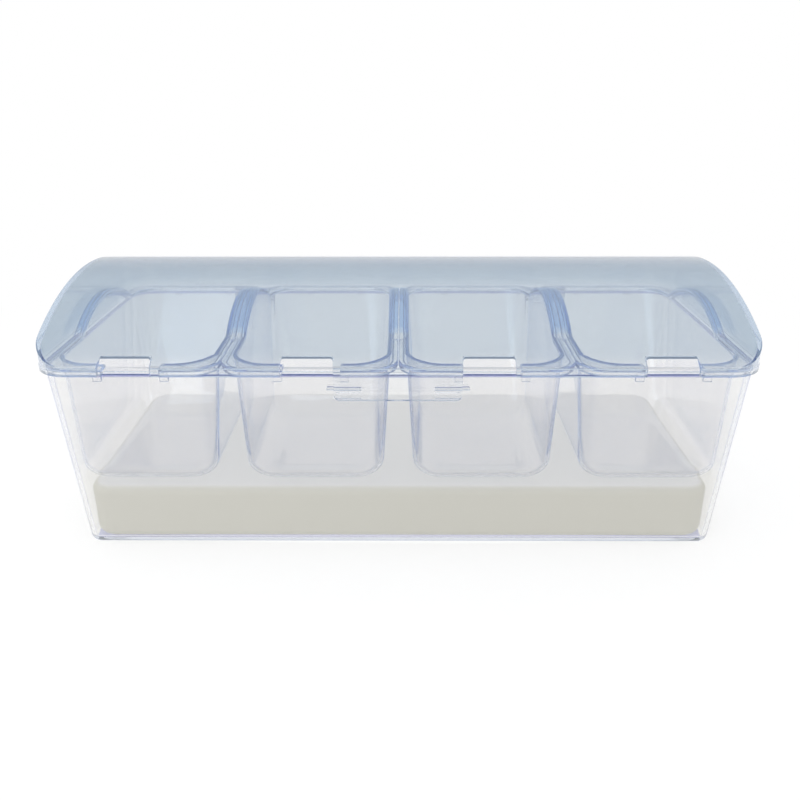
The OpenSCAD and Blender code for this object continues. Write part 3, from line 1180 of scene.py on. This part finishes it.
@dataclass
class IcePack:
    """The off-white ice pack on the tub's floor, with its filler plug."""

    half_x: float = 180.0
    half_y: float = 71.4
    height: float = 33.15
    base: float = 3.05
    corner: float = 13.0
    edge: float = 5.0
    wall: float = 1.6
    plug_x: float = 140.0
    plug_r: float = 9.0
    plug_t: float = 2.0
    plug_play: float = 0.05
    plug_sides: int = 64
    boss: float = 2.0

    def rings(self, inward: float) -> list[Level]:
        """The rings from the underside to the top, on the outer skin or inward of it."""
        ring = Level(self.half_x, -self.half_y, self.half_y, self.corner, 0).grown(-inward)
        r = self.edge - inward
        low, high = self.base + inward, self.base + self.height - inward
        turns = [math.radians(90 * i / 6) for i in range(7)]
        bottom = [ring.grown(-r + r * math.sin(a), low + r - r * math.cos(a)) for a in turns]
        top = [ring.grown(-r + r * math.cos(a), high - r + r * math.sin(a)) for a in turns]
        return bottom + top

    def disc(self, name: str, radius: float, low: float, high: float) -> Piece:
        """A disc around the plug's axis.

        Args:
            name: its name.
            radius: its radius.
            low: where it starts, beside the pack's back face.
            high: where it ends.

        Returns:
            The disc.
        """
        made = Solid()
        middle = (self.plug_x, self.half_y + (low + high) / 2, self.base + self.height / 2)
        made.cylinder(radius, high - low, middle, Axis.Y, self.plug_sides)
        return made.place(name)

    def build(self) -> tuple[Piece, Piece]:
        """Build and dress the pack's shell and plug.

        Returns:
            The shell and the plug.
        """
        shell = Loft(self.rings(0.0), corner_steps=10).place("pack_shell")
        combine(shell, Loft(self.rings(self.wall), corner_steps=10).place("hollow"), Combine.CUT)
        combine(shell, self.disc("boss", self.plug_r + self.boss, -5, -1), Combine.ADD)
        combine(shell, self.disc("seat", self.plug_r, -self.plug_t, 3 - self.plug_t), Combine.CUT)
        finish_edges(shell, 0.3)
        plug = self.disc("pack_plug", self.plug_r - self.plug_play, -self.plug_t, 0)
        finish_edges(plug, 0.5, steps=3)
        for piece, node in ((shell, "ice_pack_shell"), (plug, "ice_pack_plug")):
            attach(piece, "ice_pack")
            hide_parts(node)
        return shell, plug


@dataclass
class HingePin:
    """One clear pin on which the lid turns."""

    side: int
    radius: float = 2.0
    half: float = 12.3
    head_r: float = 3.2
    head_t: float = 1.4
    head_root: float = 0.05

    def build(self) -> Piece:
        """Build and dress the pin.

        Returns:
            The piece.
        """
        name = "hinge_pin_left" if self.side < 0 else "hinge_pin_right"
        shank = Solid()
        shank.cylinder(self.radius, 2 * self.half, (self.side * HINGE.x, HINGE.y, HINGE.z))
        piece = shank.place(f"{name}_turned")
        head = Solid()
        middle = self.side * (HINGE.x + self.half + self.head_t / 2 - self.head_root)
        head.cylinder(self.head_r, self.head_t, (middle, HINGE.y, HINGE.z))
        combine(piece, head.place("head"), Combine.ADD)
        finish_edges(piece, 0.3)
        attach(piece, "tub")
        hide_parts(name)
        return piece


@dataclass
class Studio:
    """Floor, backdrop light, lamps and camera."""

    focal: float = 36.0
    pitch: float = 23.31
    yaw: float = -0.35
    roll: float = -0.1
    eye: RGB = (3.4, -473.5, 264.3)
    floor_half: float = 2400.0
    floor_drop: float = 0.4
    floor_fade: Pair = (0.22, 0.6)
    floor_glow: float = 0.62
    foot_patch: Pair = (2.6e-5, 3.4e-5)
    foot_glow: float = 0.93
    lamp_at: RGB = (-0.7, -0.6, 1.4)
    lamp_size: float = 1.0
    lamp_power: float = 5.0
    aim: RGB = (0.0, 0.0, 0.07)
    bounces: int = 18

    def floor(self) -> Piece:
        """The pale floor, which is part of the stage."""
        made = Solid()
        bmesh.ops.create_grid(made.bm, x_segments=1, y_segments=1, size=self.floor_half)
        bmesh.ops.translate(made.bm, vec=(0, 0, -self.floor_drop), verts=made.bm.verts)
        piece = made.place("floor")
        material = bpy.data.materials.new("floor paper")
        graph = Graph(material)
        fibres = graph.noise(160.0, 3.0)
        paper = graph.node(
            "ShaderNodeBsdfPrincipled",
            {},
            {
                "Base Color": graph.blend(fibres, (0.97, 0.97, 0.97), (0.95, 0.95, 0.95)),
                "Roughness": 0.8 + 0.1 * fibres,
                "Specular IOR Level": 0.1,
            },
        )
        where = graph.node("ShaderNodeTexCoord").outputs["Object"]
        length = graph.node("ShaderNodeVectorMath", {"operation": "LENGTH"}, {0: where}).outputs[1]
        # Painted light: the floor glows white by a share, all of it far away, 0.62 near the caddy
        # and 0.93 in a patch under the tub, which lifts the shadow there.
        far = graph.fade(Wire(graph, length), *self.floor_fade, self.floor_glow)
        reach = (graph.part(where, 0) * 0.42) ** 4.0 + graph.part(where, 1) ** 4.0
        under = graph.fade(reach, *self.foot_patch, self.foot_glow, 0.0)
        white = graph.node("ShaderNodeEmission", {}, {"Strength": 1.0})
        sockets = {0: far.larger(under), 1: paper.outputs[0], 2: white.outputs[0]}
        surface = graph.node("ShaderNodeMixShader", {}, sockets)
        graph.node("ShaderNodeOutputMaterial", {}, {"Surface": surface.outputs[0]})
        piece.data.materials.append(material)
        return piece

    def world(self) -> None:
        """The white surroundings: plain white to look at, a little softer as light."""
        world = bpy.data.worlds.new("surroundings")
        bpy.context.scene.world = world
        graph = Graph(world)
        rays = graph.node("ShaderNodeLightPath").outputs
        seen = Wire(graph, rays["Is Camera Ray"]).larger(Wire(graph, rays["Is Transmission Ray"]))
        up = graph.part(graph.node("ShaderNodeTexCoord").outputs["Generated"], 2)
        stops = [
            (0.0, (0.7, 0.7, 0.7)),
            (0.35, (0.45, 0.47, 0.5)),
            (0.7, (0.75, 0.77, 0.8)),
            (0.9, WHITE),
        ]
        softbox = graph.node("ShaderNodeValToRGB", {"stops": stops}, {0: up}).outputs[0]
        shade = graph.blend(Wire(graph, rays["Is Glossy Ray"]), WHITE, softbox)
        seen_white = graph.blend(seen, shade, WHITE)
        sky = graph.node("ShaderNodeBackground", {}, {"Color": seen_white, "Strength": 1.0})
        graph.node("ShaderNodeOutputWorld", {}, {"Surface": sky.outputs[0]})

    def lamp(self) -> None:
        """The square soft lamp that points at the middle of the caddy."""
        light = bpy.data.lights.new("key", "AREA")
        light.shape = "SQUARE"
        light.size, light.energy = self.lamp_size, self.lamp_power
        lamp = bpy.data.objects.new("key", light)
        lamp.location = self.lamp_at
        lamp.visible_glossy = False
        aim = Vector(self.aim) - Vector(self.lamp_at)
        lamp.rotation_euler = aim.to_track_quat("-Z", "Y").to_euler()
        bpy.context.scene.collection.objects.link(lamp)

    def camera(self) -> None:
        """The camera at the photograph's place."""
        data = bpy.data.cameras.new("camera")
        data.lens = self.focal
        data.sensor_width = 36.0
        data.sensor_fit = "HORIZONTAL"
        data.clip_start, data.clip_end = 0.01, 50.0
        camera = bpy.data.objects.new("camera", data)
        p, y, r = (math.radians(a) for a in (self.pitch, self.yaw, self.roll))
        ahead = Vector((math.sin(y) * math.cos(p), math.cos(y) * math.cos(p), -math.sin(p)))
        right = Vector((math.cos(y), -math.sin(y), 0.0))
        up = right.cross(ahead)
        right, up = (
            math.cos(r) * right + math.sin(r) * up,
            -math.sin(r) * right + math.cos(r) * up,
        )
        turn = Matrix((right, up, -ahead)).transposed().to_4x4()
        camera.matrix_world = Matrix.Translation(Vector(self.eye) * MM) @ turn
        bpy.context.scene.collection.objects.link(camera)
        bpy.context.scene.camera = camera

    def build(self) -> None:
        """Set up the whole stage."""
        self.camera()
        self.floor()
        self.world()
        self.lamp()
        scene = bpy.context.scene
        scene.view_settings.view_transform = "Standard"
        scene.cycles.max_bounces = scene.cycles.transmission_bounces = self.bounces
        scene.cycles.transparent_max_bounces = 48


def plain(box: tuple[Vector, Vector]) -> list[list[float]]:
    """A box as plain lists."""
    return [list(corner) for corner in box]


def main() -> None:
    """Build the caddy piece by piece and report each one."""
    logging.basicConfig(level=logging.INFO, format="%(name)s: %(message)s")
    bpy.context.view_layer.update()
    clear, tub_clear, smoky, pack_skin, gel = (
        finish.make() for finish in (CLEAR, CLEAR_TUB, SMOKY, PACK, GEL)
    )
    built: list[tuple[Piece, bpy.types.Material]] = [(Tub().build(), tub_clear)]
    built.append((Lid().build(), smoky))
    built += [(Cup(number).build(), clear) for number in (1, 2, 3, 4)]
    built += [(piece, pack_skin) for piece in IcePack().build()]
    built += [(HingePin(side).build(), clear) for side in SIDES]
    built.append((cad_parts["ice_pack_coolant"], gel))
    for piece, material in built:
        piece.data.materials.clear()
        piece.data.materials.append(material)
        LOG.info("%s: %d faces", piece.name, len(piece.data.polygons))
    Studio().build()


if __name__ == "__main__":
    main()
